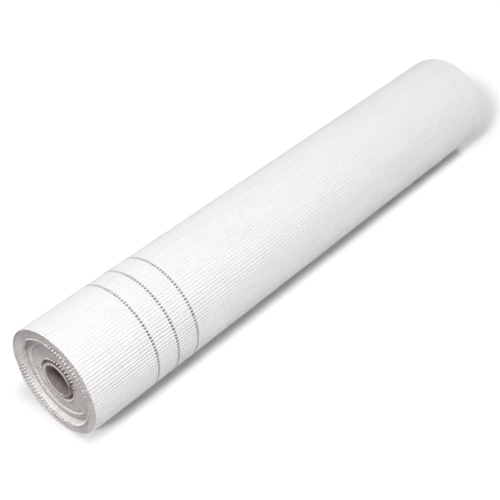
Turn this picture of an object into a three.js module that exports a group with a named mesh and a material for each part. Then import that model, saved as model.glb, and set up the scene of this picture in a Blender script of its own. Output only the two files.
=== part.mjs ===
import * as THREE from "three";

// A roll of open fiberglass mesh, wound on a cardboard tube and lying on its side.
// Units are millimetres and +Z is up. The roll's axis runs along X, and the end that shows
// its slipped turns is the -X end. The origin is on the floor, below the middle of the roll.

// Web and winding
const WEB_WIDTH = 1000; // every turn keeps this length along the axis
const TURN_THICKNESS = 0.46; // one layer as wound, with the yarns nested in the layer below
const INNER_TURNS = 64;
const MIDDLE_TURNS = 28;
const OUTER_TURNS = 40;

// Cardboard tube
const CORE_BORE_RADIUS = 25;
const CORE_WALL = 4.5;
const CORE_LENGTH = 1000;
const SEAT_CLEARANCE = 0.3; // between the tube and the first turn

// Slip of the winding. The turns have slid along the tube in three groups, as one after another
// on a roll that was pushed in at its end. A slip is how far a turn's near edge stands behind the
// outermost turn's, and so how far its other edge stands out at the far end.
const CORE_SLIP = 6.8;
const INNER_GROUP_SLIP_AT_TUBE = 8.2;
const INNER_GROUP_SLIP_OUTSIDE = 11.4;
const MIDDLE_GROUP_SLIP_INSIDE = 8.8;
const MIDDLE_GROUP_SLIP_OUTSIDE = 9.3;
const OUTER_GROUP_SLIP_INSIDE = 1.8;

// The first turns have come loose around the tube at the near end and left a funnel.
const MOUTH_GAP = 5.2;
const MOUTH_STRAIGHT_DEPTH = 9;
const MOUTH_TAPER_DEPTH = 26;

// The edges of neighbouring turns bunch into low rings, which show on both ends.
const RING_TURNS = 10;
const RING_RELIEF = 0.7;

// Dark marker yarns, three of them, woven in beside one selvedge
const MARKER_YARN_COUNT = 3;
const FIRST_MARKER_FROM_EDGE = 123.8;
const MARKER_SPACING = 41.2;
const MARKER_YARN_WIDTH = 4.2;
const MARKER_YARN_THICKNESS = 0.9;
const MARKER_CLEARANCE = 0.3;
const MARKER_CREST_BELOW_SURFACE = 0.1;

// Flats around every turned piece. With a multiple of eight, one flat faces straight down.
const FLATS = 48;

// Radii that follow from the winding
const coreOuterRadius = CORE_BORE_RADIUS + CORE_WALL;
const firstTurnRadius = coreOuterRadius + SEAT_CLEARANCE;
const mouthRadius = firstTurnRadius + MOUTH_GAP;
const innerGroupRadius = firstTurnRadius + INNER_TURNS * TURN_THICKNESS;
const middleGroupRadius = innerGroupRadius + MIDDLE_TURNS * TURN_THICKNESS;
const rollRadius = middleGroupRadius + OUTER_TURNS * TURN_THICKNESS;

const innerGroup = {
  inside: firstTurnRadius,
  outside: innerGroupRadius,
  slipInside: INNER_GROUP_SLIP_AT_TUBE,
  slipOutside: INNER_GROUP_SLIP_OUTSIDE,
};
const middleGroup = {
  inside: innerGroupRadius,
  outside: middleGroupRadius,
  slipInside: MIDDLE_GROUP_SLIP_INSIDE,
  slipOutside: MIDDLE_GROUP_SLIP_OUTSIDE,
};
const outerGroup = {
  inside: middleGroupRadius,
  outside: rollRadius,
  slipInside: OUTER_GROUP_SLIP_INSIDE,
  slipOutside: 0,
};

const meshMaterial = new THREE.MeshStandardMaterial({
  color: 0xf0efec,
  roughness: 0.75,
  metalness: 0,
});
const tubeMaterial = new THREE.MeshStandardMaterial({
  color: 0xb9a5a0,
  roughness: 0.9,
  metalness: 0,
});
const markerMaterial = new THREE.MeshStandardMaterial({
  color: 0x5a5c60,
  roughness: 0.8,
  metalness: 0,
});

// Turns a closed profile of [radius, x] points about the roll's axis.
// Each flat, not each corner, lies at the stated radius, so sizes across the flats are true.
function turned(profile) {
  const acrossFlats = 1 / Math.cos(Math.PI / FLATS);
  const points = profile.map(([radius, x]) => new THREE.Vector2(radius * acrossFlats, x));
  points.push(points[0].clone());
  const geometry = new THREE.LatheGeometry(points, FLATS, Math.PI / FLATS);
  geometry.rotateZ(-Math.PI / 2);
  return geometry;
}

function piece(name, geometry, material) {
  const mesh = new THREE.Mesh(geometry, material);
  mesh.name = name;
  return mesh;
}

// The edge of one group of turns on one end, from its inside outwards, as [radius, x] points.
// rimX is where a turn without slip would end, and out is +1 or -1, away from the roll's middle.
function groupEdge(group, rimX, out) {
  const rings = Math.max(1, Math.round((group.outside - group.inside) / (RING_TURNS * TURN_THICKNESS)));
  const points = [];
  for (let ring = 0; ring < rings; ring++) {
    for (const part of [0, 0.5]) {
      const share = (ring + part) / rings;
      const slip = THREE.MathUtils.lerp(group.slipInside, group.slipOutside, share);
      const relief = part === 0 ? 0 : RING_RELIEF;
      points.push([
        THREE.MathUtils.lerp(group.inside, group.outside, share),
        rimX + slip - out * relief,
      ]);
    }
  }
  points.push([group.outside, rimX + group.slipOutside]);
  return points;
}

// The far end, with every turn tight around the one before it.
function farEndFace(rimX) {
  return [innerGroup, middleGroup, outerGroup].flatMap((group) => groupEdge(group, rimX, 1));
}

// The near end, with the loose first turns opened into a funnel around the tube.
function nearEndFace(rimX) {
  const mouthX = rimX + INNER_GROUP_SLIP_AT_TUBE;
  const openedGroup = { ...innerGroup, inside: mouthRadius };
  return [
    [firstTurnRadius, mouthX + MOUTH_TAPER_DEPTH],
    [mouthRadius, mouthX + MOUTH_STRAIGHT_DEPTH],
    ...[openedGroup, middleGroup, outerGroup].flatMap((group) => groupEdge(group, rimX, -1)),
  ];
}

function markerX(index) {
  return -WEB_WIDTH / 2 + FIRST_MARKER_FROM_EDGE + index * MARKER_SPACING;
}

// The outer surface from the near end to the far one, sunk where a marker yarn lies in it.
function outerSurface() {
  const halfGroove = MARKER_YARN_WIDTH / 2 + MARKER_CLEARANCE;
  const grooveDepth = MARKER_CREST_BELOW_SURFACE + MARKER_YARN_THICKNESS + MARKER_CLEARANCE;
  const points = [];
  for (let index = 0; index < MARKER_YARN_COUNT; index++) {
    const x = markerX(index);
    points.push(
      [rollRadius, x - halfGroove],
      [rollRadius - grooveDepth, x - halfGroove],
      [rollRadius - grooveDepth, x + halfGroove],
      [rollRadius, x + halfGroove],
    );
  }
  return points;
}

function meshRoll() {
  const profile = [
    ...nearEndFace(-WEB_WIDTH / 2),
    ...outerSurface(),
    ...farEndFace(WEB_WIDTH / 2).reverse(),
  ];
  return piece("mesh_roll", turned(profile), meshMaterial);
}

function coreTube() {
  const nearX = -WEB_WIDTH / 2 + CORE_SLIP;
  const farX = nearX + CORE_LENGTH;
  const profile = [
    [CORE_BORE_RADIUS, nearX],
    [coreOuterRadius, nearX],
    [coreOuterRadius, farX],
    [CORE_BORE_RADIUS, farX],
  ];
  return piece("core_tube", turned(profile), tubeMaterial);
}

function markerYarn(index) {
  const crest = rollRadius - MARKER_CREST_BELOW_SURFACE;
  const root = crest - MARKER_YARN_THICKNESS;
  const x = markerX(index);
  const profile = [
    [root, x - MARKER_YARN_WIDTH / 2],
    [crest, x - MARKER_YARN_WIDTH / 2],
    [crest, x + MARKER_YARN_WIDTH / 2],
    [root, x + MARKER_YARN_WIDTH / 2],
  ];
  return piece(`marker_yarn_${index + 1}`, turned(profile), markerMaterial);
}

const roll = new THREE.Group();
roll.add(coreTube(), meshRoll());
for (let index = 0; index < MARKER_YARN_COUNT; index++) {
  roll.add(markerYarn(index));
}

// Lay the roll on the floor, with the middle of its overall length above the origin.
const bounds = new THREE.Box3().setFromObject(roll);
roll.position.set(-(bounds.min.x + bounds.max.x) / 2, 0, rollRadius);

export default roll;
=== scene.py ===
# %% [markdown]
# # A roll of fiberglass mesh
#
# The object is a web of open white glass mesh, one metre wide, wound on a cardboard tube. A roll
# of mesh reads as one only where its yarns are real: light catches the ribs that run along the
# roll, dark marker yarns show as dashes between them, and the end is a brush of cut yarn ends.
# So this lesson weaves the outermost turn yarn by yarn and stacks the ends turn by turn.
#
# The first cell loads the solid model as a fixed frame. Everything is in metres, with +Z up.

import math

import bpy
import numpy as np
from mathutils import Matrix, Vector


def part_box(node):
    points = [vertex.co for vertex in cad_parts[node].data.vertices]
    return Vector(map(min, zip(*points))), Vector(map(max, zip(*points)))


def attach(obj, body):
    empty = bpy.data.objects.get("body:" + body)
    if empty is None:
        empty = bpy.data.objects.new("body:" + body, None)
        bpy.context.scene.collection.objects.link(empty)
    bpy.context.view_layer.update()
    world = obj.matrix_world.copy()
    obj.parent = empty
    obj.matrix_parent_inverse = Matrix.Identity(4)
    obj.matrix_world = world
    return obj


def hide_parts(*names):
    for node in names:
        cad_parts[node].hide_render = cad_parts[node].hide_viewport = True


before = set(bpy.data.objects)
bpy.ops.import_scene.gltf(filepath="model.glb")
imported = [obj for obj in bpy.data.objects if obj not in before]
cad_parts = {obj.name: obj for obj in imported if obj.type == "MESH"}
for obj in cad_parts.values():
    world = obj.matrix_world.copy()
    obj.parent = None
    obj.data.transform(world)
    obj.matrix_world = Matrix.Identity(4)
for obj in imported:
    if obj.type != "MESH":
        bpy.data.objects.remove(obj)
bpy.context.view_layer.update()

# %% [markdown]
# ## Reading sizes from the frame
#
# The radii and the places along the roll could be typed in again, but then a change in the solid
# model would leave this script behind. They are read from the solids' boxes and corners instead.
# Each turned solid has flats, and its sizes are true across the flats, so the radius of a corner
# is scaled down until the largest one is the radius of the box.

# %% Sizes of the winding and the tube
MM = 0.001
roll_low, roll_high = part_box("mesh_roll")
tube_low, tube_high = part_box("core_tube")
ROLL_RADIUS = (roll_high.z - roll_low.z) / 2
AXIS_HEIGHT = (roll_high.z + roll_low.z) / 2
TUBE_RADIUS = (tube_high.z - tube_low.z) / 2
NEAR_RIM = roll_low.x


def outline_of(node):
    """Every [radius, x] corner of a turned CAD node, once."""
    corners = np.array([vertex.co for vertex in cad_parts[node].data.vertices])
    low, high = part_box(node)
    radius = np.hypot(corners[:, 1], corners[:, 2] - AXIS_HEIGHT)
    radius *= (high.z - low.z) / 2 / radius.max()
    return np.unique(np.round(np.stack([radius, corners[:, 0]], 1), 5), axis=0)


winding_outline = outline_of("mesh_roll")
FAR_RIM = winding_outline[winding_outline[:, 0] > 0.999 * ROLL_RADIUS, 1].max()
BORE_RADIUS = outline_of("core_tube")[:, 0].min()
print(f"roll radius {ROLL_RADIUS / MM:.2f} mm, web from x {NEAR_RIM:.4f} to {FAR_RIM:.4f}")
print(f"tube {2 * TUBE_RADIUS / MM:.1f} mm outside and {2 * BORE_RADIUS / MM:.1f} mm inside")

# %% [markdown]
# The winding has slipped along the tube in groups of turns, so each end is a set of rings at
# different depths. The outline of an end steps along the axis without a change of radius between
# two groups, and that is how the groups are told apart.

# %% Groups of turns on each end
END_DEPTH = 40 * MM  # the deepest corner of an end lies nearer to the rim than this
SAME_RADIUS = 0.06 * MM


def groups_of(face):
    """Splits an end's outline into groups, from the tube outwards: lists of [radius, x]."""
    face = face[np.lexsort((-face[:, 1], np.round(face[:, 0], 4)))]
    cuts = np.nonzero(np.diff(face[:, 0]) < SAME_RADIUS)[0] + 1
    return np.split(face, cuts)


near_groups = groups_of(winding_outline[winding_outline[:, 1] < NEAR_RIM + END_DEPTH])
far_groups = groups_of(winding_outline[winding_outline[:, 1] > FAR_RIM - 1 * MM])
for title, groups in (("near", near_groups), ("far", far_groups)):
    spans = [f"{g[0, 0] / MM:.1f} to {g[-1, 0] / MM:.1f} mm" for g in groups]
    print(title, "groups by radius:", "; ".join(spans))

# %% [markdown]
# ## The photograph's camera
#
# The camera's place comes from a fit to the outlines of the roll and to its three marker yarns.
# It stands in front of the near end, on the -Y side, and looks down at about forty degrees.

# %% Camera
CAMERA_BEFORE_RIM = 0.5865  # from the near rim back along the roll's axis
CAMERA_ASIDE = 0.8898
CAMERA_HEIGHT = 1.2000
LOOK_DOWN = math.radians(39.98)
LOOK_ROUND = math.radians(-48.68)
FOCAL_LENGTH_IN_PIXELS = 1051.4
FRAME_WIDTH_IN_PIXELS = 500
SENSOR = 36.0

camera_data = bpy.data.cameras.new("photo_camera")
camera_data.sensor_width = SENSOR
camera_data.lens = SENSOR * FOCAL_LENGTH_IN_PIXELS / FRAME_WIDTH_IN_PIXELS
camera = bpy.data.objects.new("photo_camera", camera_data)
bpy.context.scene.collection.objects.link(camera)
camera.location = (NEAR_RIM - CAMERA_BEFORE_RIM, -CAMERA_ASIDE, CAMERA_HEIGHT)
camera.rotation_euler = (math.pi / 2 - LOOK_DOWN, 0, LOOK_ROUND)
bpy.context.scene.camera = camera
print(f"camera at {tuple(round(value, 3) for value in camera.location)}, {camera_data.lens:.1f} mm lens")

# %% [markdown]
# ## Shader arithmetic
#
# Procedural finishes are sums: a tint plus some flecks, less the shade between yarns. Wiring
# Math nodes by hand hides that, so a small class wraps one output socket and overloads the
# operators. `1 - mask * 0.3` then adds the nodes that it needs. Colours never pass through it,
# because a Math node turns a colour grey; they go through Mix nodes.

# %% Field and Finish
# A Mix node has its colour sockets behind those for numbers and vectors.
MIX_COLOUR_A, MIX_COLOUR_B, MIX_COLOUR_RESULT = 6, 7, 2


class Field:
    """One number that changes over a surface."""

    def __init__(self, finish, socket):
        self.finish = finish
        self.socket = socket

    def _math(self, operation, first, second=0.0):
        return self.finish.node("ShaderNodeMath", {"operation": operation}, {0: first, 1: second})

    def __add__(self, other):
        return self._math("ADD", self, other)

    def __sub__(self, other):
        return self._math("SUBTRACT", self, other)

    def __rsub__(self, other):
        return self._math("SUBTRACT", other, self)

    def __mul__(self, other):
        return self._math("MULTIPLY", self, other)

    def __truediv__(self, other):
        return self._math("DIVIDE", self, other)

    def __pow__(self, other):
        return self._math("POWER", self, other)

    __radd__ = __add__
    __rmul__ = __mul__

    def cosine(self):
        return self._math("COSINE", self)

    def angle_from(self, other):
        return self._math("ARCTAN2", self, other)

    def length_with(self, other):
        return (self * self + other * other) ** 0.5

    def within(self, low, high):
        """0 below low, 1 above high, and a smooth rise between."""
        settings = {"interpolation_type": "SMOOTHSTEP", "clamp": True}
        inputs = {"Value": self, "From Min": low, "From Max": high}
        return self.finish.node("ShaderNodeMapRange", settings, inputs)


class Finish:
    """A material whose nodes are added by name, with one Principled shader at its end."""

    def __init__(self, name, **uniform):
        self.material = bpy.data.materials.new(name)
        self.material.use_nodes = True
        self.tree = self.material.node_tree
        self.shader = self.tree.nodes["Principled BSDF"]
        for socket, value in uniform.items():
            self.shader.inputs[socket.replace("_", " ")].default_value = value

    def node(self, kind, settings, inputs, output=0):
        """Adds a node, sets it, feeds its sockets with numbers or Fields, and returns one output."""
        node = self.tree.nodes.new(kind)
        for key, value in settings.items():
            setattr(node, key, value)
        for key, value in inputs.items():
            if isinstance(value, Field):
                self.tree.links.new(value.socket, node.inputs[key])
            else:
                node.inputs[key].default_value = value
        return Field(self, node.outputs[output])

    def blend(self, dark, light, share):
        """A colour between two colours, or between a colour and a coloured Field."""
        settings = {"data_type": "RGBA", "clamp_factor": True}
        colours = {"Factor": share, MIX_COLOUR_A: dark, MIX_COLOUR_B: light}
        return self.node("ShaderNodeMix", settings, colours, MIX_COLOUR_RESULT)

    def feed(self, socket, value):
        self.tree.links.new(value.socket, self.shader.inputs[socket])


print("shader arithmetic is ready")

# %% [markdown]
# Noise, the place on the roll and bump come next. Object coordinates are the roll's own, in
# metres: X along the axis, and an angle around it that starts at the top and grows towards the
# camera's side.

# %% Places on the roll
def around_roll(finish):
    """Place on the roll as Fields: x, the angle around the axis, and the radius."""
    place = finish.node("ShaderNodeTexCoord", {}, {}, "Object")
    parts = finish.node("ShaderNodeSeparateXYZ", {}, {0: place})
    sockets = parts.socket.node.outputs
    x, y, z = (Field(finish, sockets[axis]) for axis in "XYZ")
    height = z - AXIS_HEIGHT
    return x, (y * -1.0).angle_from(height), y.length_with(height)


def grain(finish, across, along, third=0.0, detail=3.0, roughness=0.6):
    """Noise in cells of the sizes that the two Fields were divided by."""
    vector = finish.node("ShaderNodeCombineXYZ", {}, {0: across, 1: along, 2: third})
    inputs = {"Vector": vector, "Scale": 1.0, "Detail": detail, "Roughness": roughness}
    return finish.node("ShaderNodeTexNoise", {}, inputs, "Fac")


def emboss(finish, height, distance, strength=1.0):
    """Feeds the shader's normal with a bump of that height Field."""
    inputs = {"Height": height, "Distance": distance, "Strength": strength}
    finish.feed("Normal", finish.node("ShaderNodeBump", {}, inputs, "Normal"))


print("places, grain and emboss are ready")

# %% [markdown]
# ## Finishes of the glass yarns
#
# Each yarn is a flat bundle of glass filaments under a white polymer coat. The filaments show as
# fine lines along the yarn, the coat is a little uneven in thickness, and here and there a bit of
# dust lies in it. A yarn along the roll and a yarn around it need their grain turned, so one
# function makes both, and a warmer one serves the cut ends.

# %% Glass yarn finishes
COAT_WHITE = (0.785, 0.785, 0.78, 1)
COAT_SHADE = (0.69, 0.685, 0.68, 1)
END_WHITE = (0.90, 0.87, 0.865, 1)
END_SHADE = (0.54, 0.495, 0.49, 1)


def yarn_finish(name, along_axis, light, shade, twist=0.0):
    """Coated glass yarn whose filaments run along the axis or around the roll."""
    finish = Finish(name, Specular_IOR_Level=0.35)
    x, angle, radius = around_roll(finish)
    arc = angle * ROLL_RADIUS
    along, across = (x, arc) if along_axis else (arc, x)
    filaments = grain(finish, across / (0.12 * MM) + along * (twist / MM), along / (6 * MM), radius / MM)
    coat = grain(finish, across / (1.5 * MM), along / (9 * MM), radius / (2 * MM), detail=2.0)
    cloud = grain(finish, x / (60 * MM), arc / (45 * MM), 0.0, detail=2.0)
    lightness = (filaments * 0.35 + coat * 0.45 + cloud * 0.15).within(0.22, 0.7)
    finish.feed("Base Color", finish.blend(shade, light, lightness))
    finish.feed("Roughness", 0.62 - coat * 0.25)
    emboss(finish, filaments * 0.6 + coat * 0.4, 0.25 * MM, 0.6)
    return finish.material


weft_finish = yarn_finish("glass_weft", True, COAT_WHITE, COAT_SHADE)
warp_finish = yarn_finish("glass_warp", False, COAT_WHITE, COAT_SHADE, twist=0.5)
cut_finish = yarn_finish("glass_cut_ends", True, END_WHITE, END_SHADE)
print("yarn finishes:", weft_finish.name, warp_finish.name, cut_finish.name)

# %% [markdown]
# Below the yarns that are modelled, the turns further in are one closed surface. What shows of it
# in the cells of the mesh is more mesh at odd phases, so its finish draws two crossing sets of
# soft stripes and embosses them. The darker grey between the stripes is painted shade, standing
# for the deeper turns seen through the gaps.

# %% Finish of the turns below
WEFT_COUNT = 106  # weft yarns in one outermost turn, which makes their spacing 5.36 mm
WARP_SPACING = 5.1 * MM
# painted shade: the darker grey between the stripes of the turns below
PAINTED_GAP_SHADE = (0.52, 0.515, 0.51, 1)


def lower_turns_finish():
    finish = Finish("glass_lower_turns", Specular_IOR_Level=0.3)
    x, angle, radius = around_roll(finish)
    arc = angle * ROLL_RADIUS
    bend = grain(finish, x / (40 * MM), arc / (30 * MM), 0.0, detail=1.0)
    weft = (angle * WEFT_COUNT + bend * 5.0 + radius / MM * 2.0).cosine()
    warp = (x / (WARP_SPACING / math.tau) + bend * 4.0).cosine()
    weave = (weft * 0.5 + 0.5).within(0.45, 0.8) * 0.6 + (warp * 0.5 + 0.5).within(0.5, 0.85) * 0.4
    dust = grain(finish, x / (2 * MM), arc / (2 * MM), radius / (2 * MM))
    lightness = weave * 0.75 + dust * 0.25
    # painted shade between the stripes, mixed with random dust
    finish.feed("Base Color", finish.blend(PAINTED_GAP_SHADE, COAT_SHADE, lightness))
    finish.feed("Roughness", 0.75 - lightness * 0.15)
    emboss(finish, weave, 0.4 * MM, 0.7)
    return finish.material


lower_finish = lower_turns_finish()
print("finish of the lower turns:", lower_finish.name)

# %% [markdown]
# ## Making meshes from grids
#
# Every yarn is a path with the same small section at each step, so a whole set of yarns is one
# four-sided array: yarn, step, corner of the section, and X, Y, Z. Arrays of that form are quick
# to build with numpy, even for a million corners, and one helper turns them into a mesh.

# %% From a grid to a piece
triangle_total = 0


def around(radius, angle, x):
    """Points at a radius and an angle about the roll's axis. The three arrays are broadcast."""
    radius, angle, x = np.broadcast_arrays(radius, angle, x)
    return np.stack([x, -radius * np.sin(angle), AXIS_HEIGHT + radius * np.cos(angle)], -1)


def quads_of(grid, first=0, closed_section=False, closed_path=False):
    """Faces between neighbouring steps and corners of a grid of yarns."""
    yarns, steps, corners, _ = grid.shape
    index = first + np.arange(yarns * steps * corners).reshape(yarns, steps, corners)
    if closed_path:
        index = np.concatenate([index, index[:, :1]], 1)
    if closed_section:
        index = np.concatenate([index, index[:, :, :1]], 2)
    a, b = index[:, :-1, :-1], index[:, :-1, 1:]
    c, d = index[:, 1:, 1:], index[:, 1:, :-1]
    return np.stack([a, b, c, d], -1).reshape(-1, 4)


def piece_from(name, grids, finish, smooth=True):
    """Joins grids into one mesh that rides on the roll. A grid is (points, options of quads_of)."""
    global triangle_total
    points, faces, first = [], [], 0
    for grid, options in grids:
        points.append(grid.reshape(-1, 3))
        faces.append(quads_of(grid, first, **options))
        first += len(points[-1])
    points, faces = np.concatenate(points), np.concatenate(faces)
    mesh = bpy.data.meshes.new(name)
    mesh.vertices.add(len(points))
    mesh.vertices.foreach_set("co", points.ravel())
    mesh.loops.add(faces.size)
    mesh.loops.foreach_set("vertex_index", faces.ravel())
    mesh.polygons.add(len(faces))
    mesh.polygons.foreach_set("loop_start", np.arange(0, faces.size, 4))
    mesh.polygons.foreach_set("use_smooth", np.full(len(faces), smooth))
    mesh.update(calc_edges=True)
    mesh.materials.append(finish)
    piece = bpy.data.objects.new(name, mesh)
    bpy.context.scene.collection.objects.link(piece)
    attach(piece, "root")
    triangle_total += 2 * len(faces)
    print(f"{name}: {2 * len(faces)} triangles")
    return piece


# %% [markdown]
# ## The form of the outermost turn
#
# A wound web isn't a perfect cylinder. It rises by one thickness in each turn, which leaves a lap
# where the web ends, and it is a little slack here and there. The lap lies low on the far side of
# the roll, where it rests against the floor. The slackness is a sum of a few long waves, and it
# only ever lowers the surface, so nothing sinks into the floor.

# %% Surface of the outermost turn
TURN_THICKNESS = 0.46 * MM
LAP_ANGLE = math.radians(214)
SLACK = 0.35 * MM
chance = np.random.default_rng(21)
slack_waves = [
    (chance.integers(1, 7), chance.uniform(2, 22), chance.uniform(0, math.tau), chance.uniform(0.4, 1))
    for _ in range(9)
]


def slackness(angle, x):
    """How far the web lies below its tight radius, from 0 to about SLACK."""
    total = 0.0
    for turns, rate, phase, size in slack_waves:
        total = total + size * np.cos(turns * angle + rate * x + phase)
    weight = sum(wave[3] for wave in slack_waves)
    return SLACK * (0.5 + 0.5 * total / weight)


def web_radius(angle, x):
    """Radius of the outermost turn's crests. angle counts from LAP_ANGLE and may pass one turn."""
    lap = TURN_THICKNESS * (1 - (angle - LAP_ANGLE) / math.tau)
    return ROLL_RADIUS - lap - slackness(angle, x)


print(f"lap at {math.degrees(LAP_ANGLE):.0f} degrees from the top, slack up to {SLACK / MM} mm")

# %% [markdown]
# ## The warp stations
#
# The mesh is a leno weave. Pairs of warp yarns run around the roll, and a weft runs along it
# through every twist of the pairs. Three of the pairs are dark: they are the marker yarns, and
# the solid model says where they lie. The white pairs fill the width between them, as near to
# their usual spacing as a whole number of them allows.

# %% Where each warp pair lies
CUT_MARGIN = 3.0 * MM  # bare weft beyond the last warp pair at either edge of the web
markers = sorted(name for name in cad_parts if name.startswith("marker_yarn"))
marker_x = [sum(corner.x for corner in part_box(name)) / 2 for name in markers]
marker_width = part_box(markers[0])[1].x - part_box(markers[0])[0].x
fixed = [NEAR_RIM + CUT_MARGIN, *marker_x, FAR_RIM - CUT_MARGIN]
spans = [
    np.linspace(start, end, round((end - start) / WARP_SPACING) + 1)
    for start, end in zip(fixed[:-1], fixed[1:])
]
warp_x = np.unique(np.round(np.concatenate(spans), 7))
plain_warp_x = np.array([x for x in warp_x if min(abs(x - m) for m in marker_x) > 1 * MM])
print(f"{len(warp_x)} warp pairs, {len(plain_warp_x)} of them white, markers at", np.round(marker_x, 4))

# %% [markdown]
# ## Weft ribs
#
# The wefts are the raised ribs that catch the light. Each one is a low arch of three faces: it
# swells a little over every warp pair and is pinched between them, and it wanders sideways by a
# few tenths of a millimetre. Its two cut ends are closed, because they show as teeth along the
# rims of the roll. Three faces and two steps to a cell keep the count low, and the wefts are made
# as two pieces, one for each half of the turn.

# %% Build the weft ribs
WEFT_WIDTH = 2.7 * MM
WEFT_HEIGHT = 1.4 * MM
WEFT_SWELL = 0.12 * MM
WEFT_PINCH = 0.12  # share of its width that a weft gains or loses beside a warp pair
WEFT_WANDER = 0.25 * MM
WANDER_LENGTH = 60 * MM  # between two random offsets along a weft
LAP_LENGTH = 4 * MM  # the warp ends that reach past the last weft
weft_pitch = math.tau / WEFT_COUNT
weft_angles = LAP_ANGLE + weft_pitch * (np.arange(WEFT_COUNT) + 0.6)


def smooth_walk(size, count, knots, rows):
    """Rows of smooth random offsets with the given number of knots along count steps."""
    values = chance.normal(0, size, (rows, knots))
    place = np.linspace(0, knots - 1, count)
    low = np.minimum(place.astype(int), knots - 2)
    share = place - low
    share = share * share * (3 - 2 * share)
    return values[:, low] * (1 - share) + values[:, low + 1] * share


def rib_grid(angles, x, crest, width, height, wander=0.0, swell=0.0, inward=False):
    """Arched ribs along the roll. crest(angle, x) is the radius of their tops."""
    offset = smooth_walk(wander, len(x), max(4, int((x[-1] - x[0]) / WANDER_LENGTH)), len(angles))
    beat = np.cos(math.tau * np.interp(x, warp_x, np.arange(len(warp_x))))
    across = np.array([-0.5, -0.2, 0.2, 0.5])
    drop = np.array([1.0, 0.0, 0.0, 1.0])
    if inward:
        across, drop = across[::-1], -drop
    span = width * (1 - WEFT_PINCH * beat)[None, :, None] * across + offset[..., None]
    angle = angles[:, None, None] + span / crest(angles[:, None], x)[..., None]
    top = crest(angles[:, None], x)[..., None] - (swell * (0.5 - 0.5 * beat))[None, :, None]
    return around(top - height * drop, angle, x[None, :, None])


def rib_caps(grid):
    """Faces that close the two cut ends of each rib."""
    near = grid[:, 0][:, [3, 2, 0, 1]].reshape(-1, 2, 2, 3)
    far = grid[:, -1][:, [0, 1, 3, 2]].reshape(-1, 2, 2, 3)
    return [(near, {}), (far, {})]


def cell_steps(start, end):
    """Places along x at every warp pair and halfway between two, with the cut ends."""
    inside = warp_x[(warp_x > start) & (warp_x < end)]
    middles = (inside[:-1] + inside[1:]) / 2
    return np.unique(np.concatenate([[start, end], inside, middles]))


weft_steps = cell_steps(NEAR_RIM, FAR_RIM)
half = WEFT_COUNT // 2
for number, chosen in enumerate((weft_angles[:half], weft_angles[half:]), 1):
    grid = rib_grid(chosen, weft_steps, web_radius, WEFT_WIDTH, WEFT_HEIGHT, WEFT_WANDER, WEFT_SWELL)
    piece_from(f"weft_yarns_{number}", [(grid, {}), *rib_caps(grid)], weft_finish)

# %% [markdown]
# ## Warp pairs
#
# Between two wefts a warp pair opens into a narrow lens, and under each weft it is pinched shut.
# A ribbon with a raised middle line that widens and narrows in step shows just that. It lies
# below the ribs' crests, and it starts under the lap and ends a few millimetres beyond the last
# weft, as the cut warp does.

# %% Build the white warp pairs
WARP_WIDTH_OPEN = 2.5 * MM
WARP_WIDTH_PINCHED = 1.3 * MM
WARP_TOP_BELOW_CREST = 0.65 * MM
WARP_DIP = 0.2 * MM
WARP_EDGE_DROP = 0.35 * MM
WARP_WANDER = 0.25 * MM
WARP_WANDER_KNOTS = 40


def turn_angles(steps_per_cell):
    """Angles around the outermost turn, from under the lap to the cut ends of the warp."""
    end = LAP_ANGLE + math.tau + LAP_LENGTH / ROLL_RADIUS
    return np.linspace(LAP_ANGLE, end, steps_per_cell * WEFT_COUNT + 2)


def weft_phase(angles):
    """0 at a weft, 1 halfway between two."""
    return 0.5 - 0.5 * np.cos(math.tau * np.interp(angles, weft_angles, np.arange(WEFT_COUNT)))


def warp_grid(stations, crest):
    angles = turn_angles(2)
    open_share = weft_phase(angles)[None, :, None]
    width = WARP_WIDTH_PINCHED + (WARP_WIDTH_OPEN - WARP_WIDTH_PINCHED) * open_share
    shift = smooth_walk(WARP_WANDER, len(angles), WARP_WANDER_KNOTS, len(stations))[..., None]
    x = stations[:, None, None] + shift + width * np.array([0.5, 0.0, -0.5])
    drop = WARP_TOP_BELOW_CREST + WARP_DIP * (1 - open_share) + WARP_EDGE_DROP * np.array([1.0, 0.0, 1.0])
    return around(crest(angles[None, :, None], x) - drop, angles[None, :, None], x)


piece_from("warp_yarns", [(warp_grid(plain_warp_x, web_radius), {})], warp_finish)

# %% [markdown]
# ## Marker yarns
#
# The three dark pairs are what the eye goes to, so they are made as two real strands each. The
# strands part halfway between two wefts and meet again under the next one, which leaves a dark
# dash in every cell.

# %% Marker finish and strands
STRAND_THICKNESS = 0.8 * MM
STRAND_WIDTH = 1.6 * MM  # the strands are flattened by the weave
STRAND_ABOVE_CREST = 0.04 * MM  # between two wefts they stand a touch above the crests
STRAND_DIP = 1.3 * MM
STRAND_CORNERS = 6
STRAND_STEPS = 8
MARKER_DARK = (0.022, 0.024, 0.027, 1)
MARKER_WORN = (0.10, 0.104, 0.112, 1)


def marker_finish():
    finish = Finish("dark_marker_yarn", Specular_IOR_Level=0.3)
    x, angle, radius = around_roll(finish)
    arc = angle * ROLL_RADIUS
    filaments = grain(finish, x / (0.1 * MM) + arc / (1.2 * MM), arc / (5 * MM), radius / (0.3 * MM))
    wear = grain(finish, x / (2 * MM), arc / (14 * MM), 0.0)
    lightness = (filaments * 0.5 + wear * 0.6).within(0.4, 0.8)
    finish.feed("Base Color", finish.blend(MARKER_DARK, MARKER_WORN, lightness))
    finish.feed("Roughness", 0.7 - filaments * 0.2)
    emboss(finish, filaments, 0.2 * MM, 0.7)
    return finish.material


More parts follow.
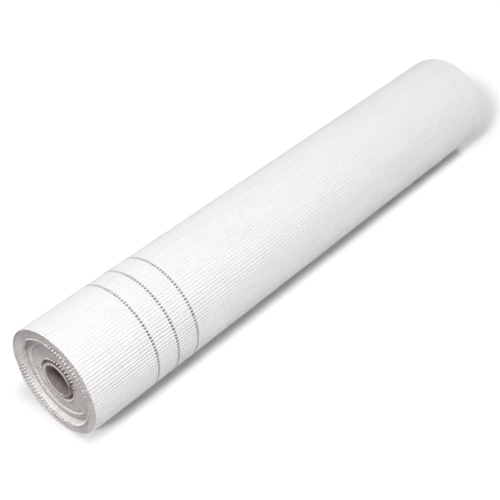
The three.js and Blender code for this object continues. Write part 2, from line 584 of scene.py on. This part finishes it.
def strand_grid(station, side):
    """One strand of a marker pair as a thin tube on its wavy path around the roll."""
    angles = turn_angles(STRAND_STEPS)
    cell = np.interp(angles, weft_angles, np.arange(WEFT_COUNT))
    swing = np.sin(math.pi * cell)
    reach = (marker_width - STRAND_WIDTH) / 2
    x = station + side * reach * np.sign(swing) * abs(swing) ** 0.5
    depth = STRAND_THICKNESS / 2 - STRAND_ABOVE_CREST + STRAND_DIP * (1 - weft_phase(angles))
    radius = web_radius(angles, x) - depth
    turn = math.tau * np.arange(STRAND_CORNERS) / STRAND_CORNERS
    out = STRAND_THICKNESS / 2 * np.cos(turn)[None, None, :]
    aside = STRAND_WIDTH / 2 * np.sin(turn)[None, None, :]
    return around(radius[None, :, None] + out, angles[None, :, None], x[None, :, None] - aside)


dark_finish = marker_finish()
for name, station in zip(markers, marker_x):
    strands = [(strand_grid(station, side), {"closed_section": True}) for side in (-1, 1)]
    strand_piece = piece_from(name.replace("yarn", "pair"), strands, dark_finish)
    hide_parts(name)

# %% [markdown]
# ## The turn below
#
# Through the cells of the outermost turn the next one shows. It goes round a slightly smaller
# circle and holds fewer wefts, so the two layers can be in step only here and there: there the
# cells are deep and the ribs stand out, and elsewhere the lower ribs fill the gaps. That is why
# a roll of mesh looks ribbed on one stretch and smooth on the next. A real turn would have
# about half a weft less than the one around it. Two fewer are used here, which ends the ribbed
# stretch sooner and puts a second one on the side away from the camera. The second turn needs
# less detail, so its ribs and ribbons have fewer steps.

# %% Build the second turn
SECOND_WEFT_COUNT = WEFT_COUNT - 2
SECOND_STEPS = 41
SECOND_MARGIN = 0.4 * MM  # how far its edges stand behind those of the outermost turn
SECOND_WANDER = 2.5 * WEFT_WANDER
SECOND_SHIFT = 0.47 * WARP_SPACING  # its warp pairs lie between those above them
IN_STEP_ANGLE = math.radians(78)


def second_radius(angle, x):
    return web_radius(angle, x) - TURN_THICKNESS


second_x = np.linspace(NEAR_RIM + SECOND_MARGIN, FAR_RIM - SECOND_MARGIN, SECOND_STEPS)
in_step_weft = weft_angles[np.argmin(abs(weft_angles - math.tau - IN_STEP_ANGLE))]
second_pitch = math.tau / SECOND_WEFT_COUNT
second_angles = in_step_weft + second_pitch * (np.arange(SECOND_WEFT_COUNT) - SECOND_WEFT_COUNT // 2)
second_ribs = rib_grid(second_angles, second_x, second_radius, WEFT_WIDTH, WEFT_HEIGHT, SECOND_WANDER)
ribbon_angles = LAP_ANGLE + weft_pitch * np.arange(WEFT_COUNT + 1)
ribbon_x = (warp_x[:-1] + SECOND_SHIFT)[:, None, None] + WARP_WIDTH_OPEN * np.array([0.5, -0.5])
ribbon_radius = second_radius(ribbon_angles[None, :, None], ribbon_x) - WARP_TOP_BELOW_CREST
ribbons = around(ribbon_radius, ribbon_angles[None, :, None], ribbon_x)
piece_from("second_turn", [(second_ribs, {}), (ribbons, {})], warp_finish)

# %% [markdown]
# ## The turns inside
#
# Everything below is one turned surface. It follows the solid model's outline, set back where
# yarns and cut ends stand on it: by the height of the yarns on the outside, and by the bare weft
# ends on both faces.

# %% Build the wound body
BODY_BELOW_CREST = 1.75 * MM
WALL_BEHIND_RIBS = 0.9 * MM
FACE_SETBACK = 4.4 * MM
BODY_SECTORS = 2 * WEFT_COUNT
first_turn_radius = far_groups[0][0, 0]


def face_x(group, radius):
    """x of a group's edge at a radius, on either end."""
    return np.interp(radius, group[:, 0], group[:, 1])


def body_outline():
    """[radius, x] of the wound body, from the tube at the near end round to the far end."""
    funnel, *near_rest = near_groups
    body_radius = ROLL_RADIUS - BODY_BELOW_CREST
    points = [(radius, x) for radius, x in funnel]
    for group in near_rest:
        for radius in (group[0, 0], group[-1, 0]):
            x = face_x(group, radius) + FACE_SETBACK
            points.append((min(radius + WALL_BEHIND_RIBS, body_radius), x))
    for group in far_groups[::-1]:
        for radius in (group[-1, 0], group[0, 0]):
            behind_ribs = max(radius - WALL_BEHIND_RIBS, first_turn_radius)
            points.append((min(behind_ribs, body_radius), face_x(group, radius) - FACE_SETBACK))
    return np.array(points)


outline = body_outline()[::-1]  # from the far end, so that the faces point outwards
sector_angles = math.tau * np.arange(BODY_SECTORS) / BODY_SECTORS
body_grid = around(outline[None, None, :, 0], sector_angles[None, :, None], outline[None, None, :, 1])
body_grids = [(body_grid, {"closed_path": True})]
body = piece_from("wound_body", body_grids, lower_finish, smooth=False)
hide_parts("mesh_roll")

# %% [markdown]
# ## Turn edges on the two ends
#
# Seen from its end, a roll is a spiral of selvedges, each a ridge as wide as one turn is thick.
# The strip below follows that spiral from the tube to just inside the outermost turns, which
# show as whole ribs instead. Its depth comes from the groups of the solid model, with a little
# scatter from turn to turn, because no web is wound with its edge quite true. The first two
# turns of a group stand back, so that the wefts in the wall beside them show as teeth.
#
# The cut yarns mat together, so the face isn't level either. A sum of short waves makes clumps,
# and on the outer group they give way to ridges that run from turn to turn.

# %% Spiral of selvedges
EDGE_STEPS = 96  # in each turn
FIRST_TURNS = 2  # of each group
FIRST_TURNS_SETBACK = 1.5 * MM
OUTERMOST_EDGE = ROLL_RADIUS - WEFT_HEIGHT  # the turns outside it show as whole ribs
EDGE_RIDGE = 0.5 * MM
EDGE_WAVER = 0.15 * MM
EDGE_WAVER_KNOTS = 14
TURN_SCATTER = 0.22 * MM
turn_count = round((ROLL_RADIUS - first_turn_radius) / TURN_THICKNESS)
CLUMP_SIZE = 5.0 * MM
CLUMP_DEPTH = 0.7 * MM
CLUMP_WAVES = 24
RIDGE_COUNT = 96
RIDGE_SHARE = 0.75
RIDGE_GAIN = 1.3
RIDGE_BEND = 0.8  # how far the clumps bend the ridges, in radians of a ridge
RIDGES_FROM = near_groups[-1][0, 0] - 4 * MM
RIDGES_FADE = 4 * MM
clump_waves = chance.normal(0, math.tau / CLUMP_SIZE, (CLUMP_WAVES, 2))
clump_phases = chance.uniform(0, math.tau, CLUMP_WAVES)


def clumps(radius, angle):
    """How far the cut edges stand out, in clumps of matted yarn, about -1 to 1."""
    radius, angle = np.broadcast_arrays(radius, angle)
    y, z = radius * np.sin(angle), radius * np.cos(angle)
    total = np.zeros(radius.shape)
    for (across, up), phase in zip(clump_waves, clump_phases):
        total += np.cos(across * y + up * z + phase)
    total /= math.sqrt(CLUMP_WAVES / 2)
    share = np.clip((radius - RIDGES_FROM) / RIDGES_FADE, 0, 1) * RIDGE_SHARE
    ridges = np.cos(RIDGE_COUNT * angle + RIDGE_BEND * total)
    return total * (1 - share) + RIDGE_GAIN * ridges * share


def group_at(groups, radius):
    """The group of turns that a radius lies in."""
    for group in groups:
        if radius <= group[-1, 0] + SAME_RADIUS:
            return group
    return groups[-1]


def is_first_turn(groups, radius):
    """Whether a turn is one of the first of its group, whose wefts the walls show."""
    starts = [group[0, 0] for group in groups[1:]]
    return any(start < radius < start + FIRST_TURNS * TURN_THICKNESS for start in starts)


def end_depths(groups):
    """x of each turn's edge, one value a turn, with its scatter."""
    radii = first_turn_radius + TURN_THICKNESS * (np.arange(turn_count) + 0.5)
    x = np.array([face_x(group_at(groups, radius), radius) for radius in radii])
    return radii, x + chance.normal(0, TURN_SCATTER, turn_count)


def edge_grid(groups, inward, start_radius):
    """Ridged strips, one a turn. inward is +1 on the near end and -1 on the far one."""
    radii, edges = end_depths(groups)
    edges += inward * FIRST_TURNS_SETBACK * np.array([is_first_turn(groups, radius) for radius in radii])
    keep = (radii > start_radius) & (radii < OUTERMOST_EDGE)
    radii, edges = radii[keep], edges[keep]
    angle = math.tau * np.arange(EDGE_STEPS + 1) / EDGE_STEPS
    rise = TURN_THICKNESS * angle / math.tau
    across = np.array([-0.5, 0.0, 0.5])
    ridge = np.array([EDGE_RIDGE, 0.0, EDGE_RIDGE])
    radius = radii[:, None, None] + rise[None, :, None] + TURN_THICKNESS * (across - 0.5)
    waver = smooth_walk(EDGE_WAVER, EDGE_STEPS + 1, EDGE_WAVER_KNOTS, len(radii))
    x = edges[:, None, None] + waver[..., None] + inward * (CUT_MARGIN + ridge)
    x = x + inward * CLUMP_DEPTH * clumps(radius, angle[None, :, None])
    if inward > 0:
        radius, x = radius[..., ::-1], x[..., ::-1]
    return around(radius, angle[None, :, None], x)


mouth_radius = near_groups[1][0, 0]
near_edges = edge_grid(near_groups, 1, mouth_radius)
far_edges = edge_grid(far_groups, -1, 0.0)
piece_from("near_turn_edges", [(near_edges, {})], cut_finish)
piece_from("far_turn_edges", [(far_edges, {})], cut_finish)

# %% [markdown]
# ## Cut weft ends
#
# Beyond the last warp pair the wefts end bare, cut two or three millimetres further on. There is
# one every 5.36 mm along fifty metres of web, so each end of the roll is a brush of about ten
# thousand of them. Their places follow from the length of the spiral, and that alone makes the
# streaks in which they line up from turn to turn.

# %% Build the cut ends
WEFT_SPACING = math.tau * ROLL_RADIUS / WEFT_COUNT
END_WIDTH = 1.6 * MM
END_THICKNESS = 0.42 * MM
END_SHORTEST = 2.2 * MM
END_ROOT_DEPTH = 0.8 * MM  # how far it goes on below the selvedges
END_TAPER = 0.75
END_SPLAY = 0.2 * MM


def spiral_wefts(start_radius):
    """Total angle and radius of every weft along the spiral, outside start_radius."""
    length = math.pi * (ROLL_RADIUS**2 - first_turn_radius**2) / TURN_THICKNESS
    along = WEFT_SPACING * np.arange(int(length / WEFT_SPACING))
    radius = np.sqrt(first_turn_radius**2 + along * TURN_THICKNESS / math.pi)
    angle = math.tau * (radius - first_turn_radius) / TURN_THICKNESS
    keep = (radius > start_radius) & (radius < OUTERMOST_EDGE)
    return angle[keep], radius[keep]


def cut_end_grids(groups, inward, start_radius):
    """Prisms that stand on the selvedges: their sides and their caps."""
    angle, radius = spiral_wefts(start_radius)
    whole = np.array([not is_first_turn(groups, r) for r in radius])
    angle, radius = angle[whole], radius[whole]
    count = len(angle)
    tip = np.array([face_x(group_at(groups, r), r) for r in radius])
    tuft = np.clip(0.5 + 0.5 * clumps(radius, angle), 0, 1)
    shorter = (CUT_MARGIN - END_SHORTEST) * chance.uniform(0, 1, count)
    tip = tip + inward * (shorter + 2 * CLUMP_DEPTH * tuft)
    root = tip + inward * (CUT_MARGIN + END_ROOT_DEPTH)
    sway = chance.normal(0, END_SPLAY, count)
    lean = chance.normal(0, 0.5 * END_SPLAY, count)
    corner_arc = END_WIDTH / 2 * np.array([-1, 1, 1, -1])
    corner_out = END_THICKNESS / 2 * np.array([-1, -1, 1, 1])
    if inward < 0:
        corner_arc = -corner_arc
    rings = []
    for share, slim in ((0.0, 1.0), (1.0, END_TAPER)):
        x = root + (tip - root) * share
        arc = corner_arc[None, :] * slim + (sway * share)[:, None]
        out = corner_out[None, :] * slim + (lean * share)[:, None]
        rings.append(around(radius[:, None] + out, angle[:, None] + arc / radius[:, None], x[:, None]))
    sides = np.stack(rings, 1)
    cap = rings[1][:, [0, 1, 3, 2]].reshape(count, 2, 2, 3)
    return [(sides, {"closed_section": True}), (cap, {})]


near_ends = cut_end_grids(near_groups, 1, mouth_radius)
far_ends = cut_end_grids(far_groups, -1, 0.0)
piece_from("near_cut_ends", near_ends, cut_finish, smooth=False)
piece_from("far_cut_ends", far_ends, cut_finish, smooth=False)

# %% [markdown]
# ## Walls between the groups
#
# Where one group of turns stands behind the next, the side of a turn shows: on the near end its
# inner side, which the light from above reaches at the bottom of the roll, and on the far end
# its outer side. These walls are mesh as well, with ribs along the roll and the first warp pairs
# beside the cut.

# %% Build the step walls
WALL_REACH = 1.5 * MM  # how far a wall goes on behind the edge that hides it
TEETH = (0.3 * MM, 2.6 * MM)  # how far the wefts of a group's first turn stand out of its face
MOUTH_TEETH = 1.5 * MM
WALL_JITTER = 0.12  # of the wefts, as a share of their spacing
WALL_WANDER = 0.15 * MM
WALL_WARP_DROP = 0.15 * MM


def wall_grids(radius, x_from, x_to, inward_side, bare=CUT_MARGIN):
    """Ribs and warp pairs on one wall, with its cut edge at x_from and bare wefts beside it."""
    count = round(math.tau * radius / WEFT_SPACING)
    angles = math.tau * (np.arange(count) + chance.uniform(-WALL_JITTER, WALL_JITTER, count)) / count
    steps = np.linspace(min(x_from, x_to), max(x_from, x_to), 5)

    def crest(angle, x):
        return np.full(np.broadcast(angle, x).shape, radius)

    ribs = rib_grid(angles, steps, crest, WEFT_WIDTH, WEFT_HEIGHT, WALL_WANDER, inward=inward_side)
    grids = [(ribs, {}), *rib_caps(ribs)]
    side = -1 if inward_side else 1
    direction = 1 if x_to > x_from else -1
    station = x_from + direction * bare
    turn = math.tau * np.arange(4 * count) / (4 * count)
    while direction * (x_to - station) > WARP_WIDTH_OPEN:
        x = station + side * WARP_WIDTH_OPEN * np.array([0.4, 0.0, -0.4])
        drop = side * (WALL_WARP_DROP + WARP_EDGE_DROP * np.array([1.0, 0.0, 1.0]))
        ring = around(radius - drop[None, None, :], turn[None, :, None], x[None, None, :])
        grids.append((ring, {"closed_path": True}))
        station += direction * WARP_SPACING
    return grids


near_walls = []
for inner, outer, teeth in zip(near_groups[1:-1], near_groups[2:], TEETH):
    wall_end = inner[-1, 1] + WALL_REACH + CUT_MARGIN
    near_walls += wall_grids(outer[0, 0], outer[0, 1] - teeth, wall_end, True, CUT_MARGIN + teeth)
mouth_edge = near_groups[1][0, 1] - MOUTH_TEETH
near_walls += wall_grids(mouth_radius, mouth_edge, near_groups[0][-1, 1], True, CUT_MARGIN + MOUTH_TEETH)
piece_from("near_step_walls", near_walls, cut_finish)

far_walls = []
for inner, outer in zip(far_groups[:-1], far_groups[1:]):
    far_walls += wall_grids(inner[-1, 0], inner[-1, 1], outer[0, 1] - WALL_REACH - CUT_MARGIN, False)
piece_from("far_step_walls", far_walls, cut_finish)

# %% [markdown]
# ## Cardboard tube
#
# The tube is wound from strips of grey-brown paper. Its surface shows the spiral seam of the last
# strip, inside and out, and its cut ends show the plies as fine rings, paler where the saw has
# raised the fibres. The edges are slightly rounded.

# %% Tube finish and tube
SEAM_LEAD = 95 * MM  # the seam moves this far along the tube in one turn
TUBE_SECTORS = 160
EDGE_ROUND = 0.5 * MM
NEAR_CUT_DARK_ANGLE = 1.85  # where the near cut is darkest, on the camera's side and a little low
PAPER_DARK = (0.15, 0.12, 0.11, 1)
PAPER_LIGHT = (0.36, 0.295, 0.275, 1)
PAPER_CUT = (0.60, 0.52, 0.505, 1)
# painted darker colour for one side of the near cut
PAPER_CUT_DARKER = (0.20, 0.16, 0.15, 1)
PAPER_SEAM = (0.16, 0.13, 0.12, 1)


def cardboard_finish():
    finish = Finish("grey_brown_cardboard", Specular_IOR_Level=0.2)
    x, angle, radius = around_roll(finish)
    arc = angle * TUBE_RADIUS
    fibres = grain(finish, x / (0.8 * MM) + arc / (2 * MM), arc / (1.5 * MM), radius / MM, detail=5.0)
    blotches = grain(finish, x / (25 * MM), arc / (18 * MM), radius / (20 * MM))
    seam = ((x / SEAM_LEAD * math.tau + angle).cosine() * 0.5 + 0.5).within(0.985, 0.999)
    plies = (radius / (0.55 * MM / math.tau)).cosine() * 0.5 + 0.5
    lightness = (fibres * 0.6 + blotches * 0.5 + plies * 0.12).within(0.35, 0.85)
    paper = finish.blend(PAPER_DARK, PAPER_LIGHT, lightness)
    near_cut = 1 - (x - tube_low.x).within(0.2 * MM, 1.0 * MM)
    far_cut = (x - tube_high.x).within(-1.0 * MM, -0.2 * MM)
    paper = finish.blend(paper, PAPER_CUT, (near_cut + far_cut) * (0.45 + fibres * 0.6))
    # The near cut is painted darker towards the camera's side and a little low.
    darker_side = (angle - NEAR_CUT_DARK_ANGLE).cosine().within(0.45, 0.95) * near_cut
    paper = finish.blend(paper, PAPER_CUT_DARKER, darker_side * (0.5 + blotches * 0.6))
    finish.feed("Base Color", finish.blend(paper, PAPER_SEAM, seam * 0.8))
    finish.feed("Roughness", 0.95 - fibres * 0.15)
    emboss(finish, fibres * 0.5 - seam + plies * 0.2, 0.3 * MM, 0.8)
    return finish.material


def tube_outline():
    """[radius, x] round the tube's wall, with its four edges rounded."""
    points = []
    turn = np.linspace(0, math.pi / 2, 4)
    corners = [
        (TUBE_RADIUS, tube_low.x, -1, 1, 0),
        (TUBE_RADIUS, tube_high.x, -1, -1, 1),
        (BORE_RADIUS, tube_high.x, 1, -1, 0),
        (BORE_RADIUS, tube_low.x, 1, 1, 1),
    ]
    for radius, x, to_wall, to_middle, backwards in corners:
        for step in turn[::-1] if backwards else turn:
            corner_radius = radius + to_wall * EDGE_ROUND * (1 - math.sin(step))
            corner_x = x + to_middle * EDGE_ROUND * (1 - math.cos(step))
            points.append((corner_radius, corner_x))
    return np.array(points)


tube_path = tube_outline()[None, None, ::-1]
tube_angles = math.tau * np.arange(TUBE_SECTORS) / TUBE_SECTORS
tube_grid = around(tube_path[..., 0], tube_angles[None, :, None], tube_path[..., 1])
tube_options = {"closed_section": True, "closed_path": True}
tube = piece_from("paper_tube", [(tube_grid, tube_options)], cardboard_finish())
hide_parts("core_tube")
print("triangles in all:", triangle_total)

# %% [markdown]
# ## Floor and light
#
# The photograph is a product shot on white, so the floor runs out to pure white. The roll is lit
# softly from the front and above, with a large lamp over its near end and two weak ones that
# fill that end and the flank that faces the camera.
#
# The photographed shadow falls below the roll and past its far end, which the light on the roll
# wouldn't give. Light linking parts the two. The roll's key lamp leaves the floor out, and two
# lamps light nothing but the floor: a steep one draws the soft shade beside the roll and in front
# of its near end, and a low one throws the shade past the far end.

# %% Floor
FLOOR_SIZE = 12.0
FLOOR_WHITE = (0.975, 0.975, 0.975, 1)
FLOOR_SHADE = (0.955, 0.955, 0.955, 1)


def floor_finish():
    finish = Finish("white_floor", Roughness=0.9, Specular_IOR_Level=0.1)
    place = finish.node("ShaderNodeTexCoord", {}, {}, "Object")
    mottle = finish.node("ShaderNodeTexNoise", {}, {"Vector": place, "Scale": 3.0}, "Fac")
    finish.feed("Base Color", finish.blend(FLOOR_SHADE, FLOOR_WHITE, mottle))
    return finish.material


floor_mesh = bpy.data.meshes.new("floor")
reach = FLOOR_SIZE / 2
floor_corners = [(-reach, -reach, 0), (reach, -reach, 0), (reach, reach, 0), (-reach, reach, 0)]
floor_mesh.from_pydata(floor_corners, [], [(0, 1, 2, 3)])
floor_mesh.materials.append(floor_finish())
floor = bpy.data.objects.new("floor", floor_mesh)
bpy.context.scene.collection.objects.link(floor)

# What a lamp may light: the floor alone, or everything else.
floor_only = bpy.data.collections.new("floor_only")
floor_only.objects.link(floor)
all_but_floor = bpy.data.collections.new("all_but_floor")
all_but_floor.objects.link(floor)
all_but_floor.collection_objects[0].light_linking.link_state = "EXCLUDE"
print("floor", FLOOR_SIZE, "m wide")

# %% Lamps and world
WORLD_STRENGTH = 0.11
KEY_FROM = (-0.24, -0.37, 1)
FLOOR_STEEP_FROM = (0.14, -0.27, 1)
FLOOR_LOW_FROM = (-1.45, -0.38, 1)
END_FILL_FROM = (-0.75, 0.05, 1)
FRONT_FILL_FROM = (-0.1, -1, 0.3)
TOP_PLACE = (-0.75, -0.25, 1.6)
STRAIGHT_DOWN = (0, 0, 1)


def aimed_lamp(name, kind, towards, energy, receivers=None, **settings):
    """A lamp that stands in the direction `towards`, as seen from the roll. Without receivers it
    lights everything. A sun's angle is its width in radians, and so the softness of its shade."""
    data = bpy.data.lights.new(name, kind)
    data.energy = energy
    for key, value in settings.items():
        setattr(data, key, value)
    lamp = bpy.data.objects.new(name, data)
    bpy.context.scene.collection.objects.link(lamp)
    east, north, up = towards
    lamp.rotation_euler = (math.atan2(math.hypot(east, north), up), 0, math.atan2(east, -north))
    if receivers:
        lamp.light_linking.receiver_collection = receivers
    return lamp


aimed_lamp("key_softbox", "SUN", KEY_FROM, energy=2.45, receivers=all_but_floor, angle=0.42)
aimed_lamp("floor_key", "SUN", FLOOR_STEEP_FROM, energy=1.35, receivers=floor_only, angle=0.46)
aimed_lamp("floor_shadow_lamp", "SUN", FLOOR_LOW_FROM, energy=1.95, receivers=floor_only, angle=0.14)
aimed_lamp("end_softbox", "SUN", END_FILL_FROM, energy=0.45, angle=0.45)
aimed_lamp("front_softbox", "SUN", FRONT_FILL_FROM, energy=0.15, angle=0.7)
top = aimed_lamp("top_softbox", "AREA", STRAIGHT_DOWN, energy=8.5, shape="SQUARE", size=1.0)
top.location = TOP_PLACE
world = bpy.data.worlds.new("bright_studio")
bpy.context.scene.world = world
world.use_nodes = True
world.node_tree.nodes["Background"].inputs["Color"].default_value = (1, 1, 1, 1)
world.node_tree.nodes["Background"].inputs["Strength"].default_value = WORLD_STRENGTH
bpy.context.scene.view_settings.view_transform = "Standard"
print("world strength", WORLD_STRENGTH)
